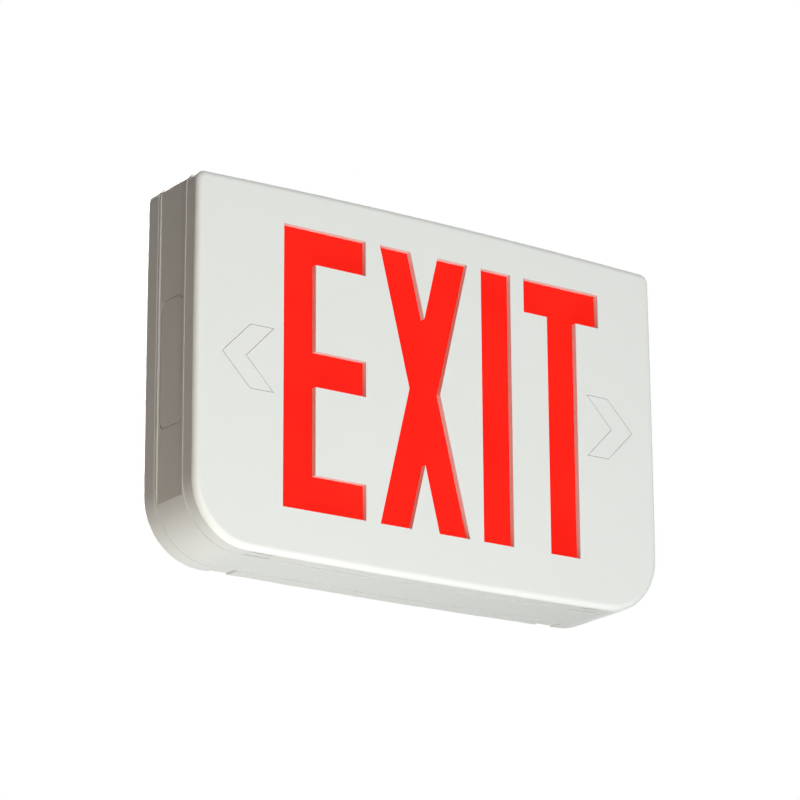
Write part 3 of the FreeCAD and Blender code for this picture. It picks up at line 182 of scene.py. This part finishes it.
def shrink_film():
    """Blue shrink film over the cells, slightly wrinkled."""
    finish = Finish("battery_wrap")
    wrinkles = finish.noise(160, 4, stretch=(3, 1, 1))
    colour = finish.blend(finish.spread(wrinkles, 0.3, 0.7), (0.02, 0.06, 0.24), (0.03, 0.09, 0.32))
    return finish.surface(colour, finish.spread(wrinkles, 0.3, 0.7, 0.16, 0.3),
                          finish.bump(wrinkles, 0.25, 0.0003))


def clear_lamp(name, dark, light, glow=0.0):
    """Small moulded lamp: tinted body with a soft glow."""
    finish = Finish(name)
    cloud = finish.spread(finish.noise(500, 2), 0.3, 0.7)
    colour = finish.blend(cloud, dark, light)
    return finish.surface(colour, finish.spread(cloud, 0, 1, 0.1, 0.18), Emission_Color=colour,
                          Emission_Strength=glow, IOR=1.5)


def button_plastic():
    """Glossy red press button, rubbed a little smoother in places."""
    finish = Finish("button_red")
    rubbed = finish.spread(finish.noise(700, 3), 0.35, 0.65)
    colour = finish.blend(rubbed, (0.46, 0.012, 0.01), (0.54, 0.02, 0.014))
    return finish.surface(colour, finish.spread(rubbed, 0, 1, 0.18, 0.28),
                          finish.bump(finish.noise(1500, 2), 0.05, 0.00004), Coat_Weight=0.2)


def dress(finish, *names):
    """Gives the material to the nodes named."""
    for name in names:
        mesh = nodes[name].data
        mesh.materials.clear()
        mesh.materials.append(finish)


def dress_all():
    dress(shell_plastic(), "front_cover", "chevron_left", "chevron_right", "housing_frame", "back_plate")
    dress(lit_panel(), "letter_panel")
    dress(moulding("reflector_white", (0.84, 0.84, 0.83), (0.88, 0.88, 0.87), 0.6), "reflector")
    dress(moulding("strip_board", (0.72, 0.73, 0.70), (0.78, 0.79, 0.76), 0.35), "light_strip_top",
          "light_strip_bottom")
    dress(clear_lamp("led_body", (0.85, 0.2, 0.1), (0.9, 0.3, 0.15), 1.5), "leds_top", "leds_bottom")
    dress(plated_metal("screw_steel", (0.45, 0.45, 0.47), (0.66, 0.66, 0.68)), "reflector_screws",
          "board_screws", "strap_screws")
    dress(plated_metal("nut_brass", (0.55, 0.42, 0.2), (0.72, 0.58, 0.3)), "switch_nut")
    dress(circuit_board(), "control_board")
    dress(laminated_core(), "transformer_core")
    dress(coil_tape(), "transformer_coil")
    dress(moulding("capacitor_sleeve", (0.012, 0.016, 0.04), (0.02, 0.026, 0.06), 0.25), "capacitors")
    dress(moulding("terminal_plastic", (0.015, 0.13, 0.04), (0.02, 0.17, 0.06), 0.4), "terminal_block")
    dress(moulding("chip_plastic", (0.012, 0.012, 0.014), (0.02, 0.02, 0.022), 0.5), "control_chip")
    dress(moulding("socket_plastic", (0.68, 0.64, 0.52), (0.74, 0.70, 0.58), 0.42), "lead_sockets",
          "lead_plugs")
    dress(moulding("lead_sheath", (0.66, 0.66, 0.65), (0.74, 0.74, 0.73), 0.32), "battery_lead",
          "strip_leads", "switch_leads", "lamp_leads")
    dress(shrink_film(), "battery_pack")
    dress(moulding("strap_plastic", (0.62, 0.62, 0.60), (0.68, 0.68, 0.66), 0.45), "battery_strap")
    dress(moulding("switch_plastic", (0.016, 0.016, 0.018), (0.024, 0.024, 0.026), 0.35), "switch_body")
    dress(moulding("lamp_bezel", (0.014, 0.014, 0.016), (0.02, 0.02, 0.022), 0.25), "lamp_holder")
    dress(clear_lamp("lamp_lens", (0.03, 0.42, 0.06), (0.05, 0.52, 0.09), 0.4), "status_lamp")
    dress(button_plastic(), "test_button")


# ---- stage, light and camera ----

FLOOR_HEIGHT = -0.75
FLOOR_SIZE = 8.0
FLOOR_WHITE = 0.8
ROOM_LIGHT = 0.01
ROOM_COLOUR = (1.0, 0.8, 0.5, 1)
SIGN_MIDDLE = Vector((0, -0.025, 0))


def make_floor():
    mesh = bpy.data.meshes.new("floor")
    half = FLOOR_SIZE / 2
    corners = [(-half, -half, FLOOR_HEIGHT), (half, -half, FLOOR_HEIGHT), (half, half, FLOOR_HEIGHT),
               (-half, half, FLOOR_HEIGHT)]
    mesh.from_pydata(corners, [], [(0, 1, 2, 3)])
    floor = bpy.data.objects.new("floor", mesh)
    bpy.context.scene.collection.objects.link(floor)
    finish = Finish("pale_floor")
    colour = finish.blend(finish.spread(finish.noise(3, 2), 0.3, 0.7), (0.70, 0.70, 0.69), (0.74, 0.74, 0.73))
    lit = finish.node("ShaderNodeBsdfPrincipled", {}, {"Base Color": colour, "Roughness": 0.8})
    white = finish.node("ShaderNodeEmission", {}, {"Color": (1, 1, 1, 1), "Strength": 1.0})
    seen = finish.node("ShaderNodeLightPath", result="Is Camera Ray") * FLOOR_WHITE
    mesh.materials.append(finish.finish(finish.node("ShaderNodeMixShader", {}, {0: seen, 1: lit, 2: white})))


def make_surroundings():
    """White where the camera, a mirror or glass sees it, and a dim warm room for all other light."""
    world = bpy.data.worlds.new("studio")
    bpy.context.scene.world = world
    world.use_nodes = True
    sky = Finish(None, world.node_tree, "ShaderNodeOutputWorld")
    path = "ShaderNodeLightPath"
    seen = sky.node(path, result="Is Camera Ray")
    for ray in ("Is Glossy Ray", "Is Transmission Ray"):
        seen = sky.maths("MAXIMUM", seen, sky.node(path, result=ray))
    room = sky.node("ShaderNodeBackground", {}, {"Color": ROOM_COLOUR, "Strength": ROOM_LIGHT})
    white = sky.node("ShaderNodeBackground", {}, {"Color": (1, 1, 1, 1), "Strength": 1.0})
    sky.finish(sky.node("ShaderNodeMixShader", {}, {0: seen, 1: room, 2: white}))


# name, place, size, spread in degrees, colour, power in watts; all aim at the sign
LAMPS = [
    ("front_box", (0.17, -1.95, -0.1), 0.9, 180, (0.9, 0.97, 1.0), 17.8),
    ("left_box", (-0.34, -1.83, 0.55), 0.8, 180, (1.0, 0.95, 0.9), 7.6),
    ("left_low_box", (-0.34, -1.92, -0.3), 0.9, 180, (1.0, 0.9, 0.78), 4.2),
    ("low_box", (-0.12, -0.1, -0.72), 0.6, 180, (0.95, 1.0, 1.0), 4.5),
    ("warm_box", (-0.6, -0.3, -0.7), 0.6, 180, (1.0, 0.5, 0.1), 1.3),
    ("back_box", (0.5, 1.6, 0.6), 1.2, 50, (1.0, 1.0, 1.0), 3.4),
]


def aim(lamp, place):
    lamp.location = place
    lamp.rotation_euler = (SIGN_MIDDLE - Vector(place)).to_track_quat("-Z", "Y").to_euler()


def make_lamps():
    for name, place, size, spread, colour, power in LAMPS:
        light = bpy.data.lights.new(name, "AREA")
        light.shape = "SQUARE"
        light.size = size
        light.spread = math.radians(spread)
        light.color = colour
        light.energy = power
        lamp = bpy.data.objects.new(name, light)
        lamp.visible_camera = False
        bpy.context.scene.collection.objects.link(lamp)
        aim(lamp, place)


CAMERA_PLACE = Vector((-0.98803, -1.42636, -0.52819))
CAMERA_TURN = math.radians(-35.03)
CAMERA_LIFT = math.radians(-17.28)
CAMERA_ROLL = math.radians(-0.32)
CAMERA_LENS = 151.5
CAMERA_SENSOR = 36


def make_camera():
    """Looks up at the sign from below and from its left, through a long lens."""
    camera = bpy.data.objects.new("camera", bpy.data.cameras.new("camera"))
    camera.data.sensor_width = CAMERA_SENSOR
    camera.data.lens = CAMERA_LENS
    level = math.cos(CAMERA_LIFT)
    back = Vector((math.sin(CAMERA_TURN) * level, -math.cos(CAMERA_TURN) * level, math.sin(CAMERA_LIFT)))
    right = (-back).cross(Vector((0, 0, 1))).normalized()
    up = right.cross(-back)
    rolled_right = right * math.cos(CAMERA_ROLL) + up * math.sin(CAMERA_ROLL)
    rolled_up = up * math.cos(CAMERA_ROLL) - right * math.sin(CAMERA_ROLL)
    turn = Matrix((rolled_right, rolled_up, back)).transposed().to_4x4()
    camera.matrix_world = Matrix.Translation(CAMERA_PLACE) @ turn
    bpy.context.scene.collection.objects.link(camera)
    bpy.context.scene.camera = camera


make_camera()
dress_all()
make_floor()
make_surroundings()
make_lamps()
bpy.context.scene.view_settings.view_transform = "Standard"
